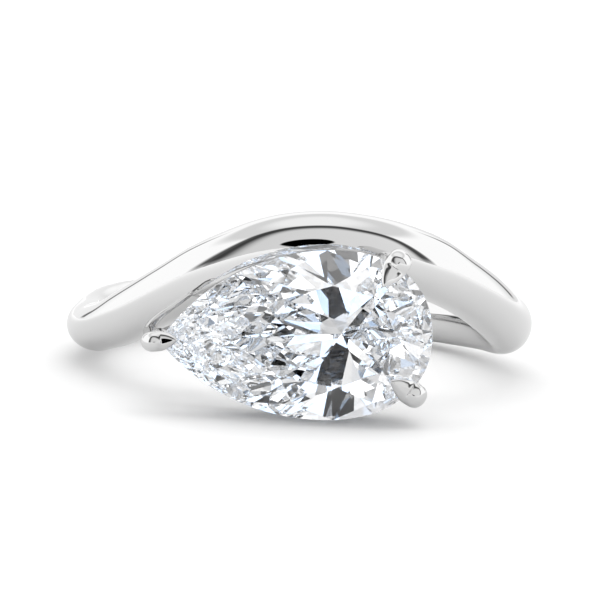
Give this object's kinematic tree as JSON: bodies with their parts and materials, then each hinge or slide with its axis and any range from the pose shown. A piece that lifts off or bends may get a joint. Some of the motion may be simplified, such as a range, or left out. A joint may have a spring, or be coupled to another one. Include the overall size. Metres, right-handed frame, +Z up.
{
  "type": "east west ring",
  "caption": "Polished white metal ring whose band swoops over a pear cut stone lying sideways, held by claws on a small open basket.",
  "frame": {"origin": "middle of the bounding box's bottom, on the surface that the ring lies on", "axes": "+Z up from the surface, -Y towards the stone's table, +X towards the stone's round end, +Y the longest extent"},
  "size_m": [0.0204, 0.0234, 0.0085],
  "materials": {
    "white_metal": "mirror polished white precious metal",
    "clear_stone": "colourless cut stone, polished facets"
  },
  "bodies": {
    "root": {"ring_metal": "white_metal", "pear_stone": "clear_stone"}
  },
  "joints": []
}
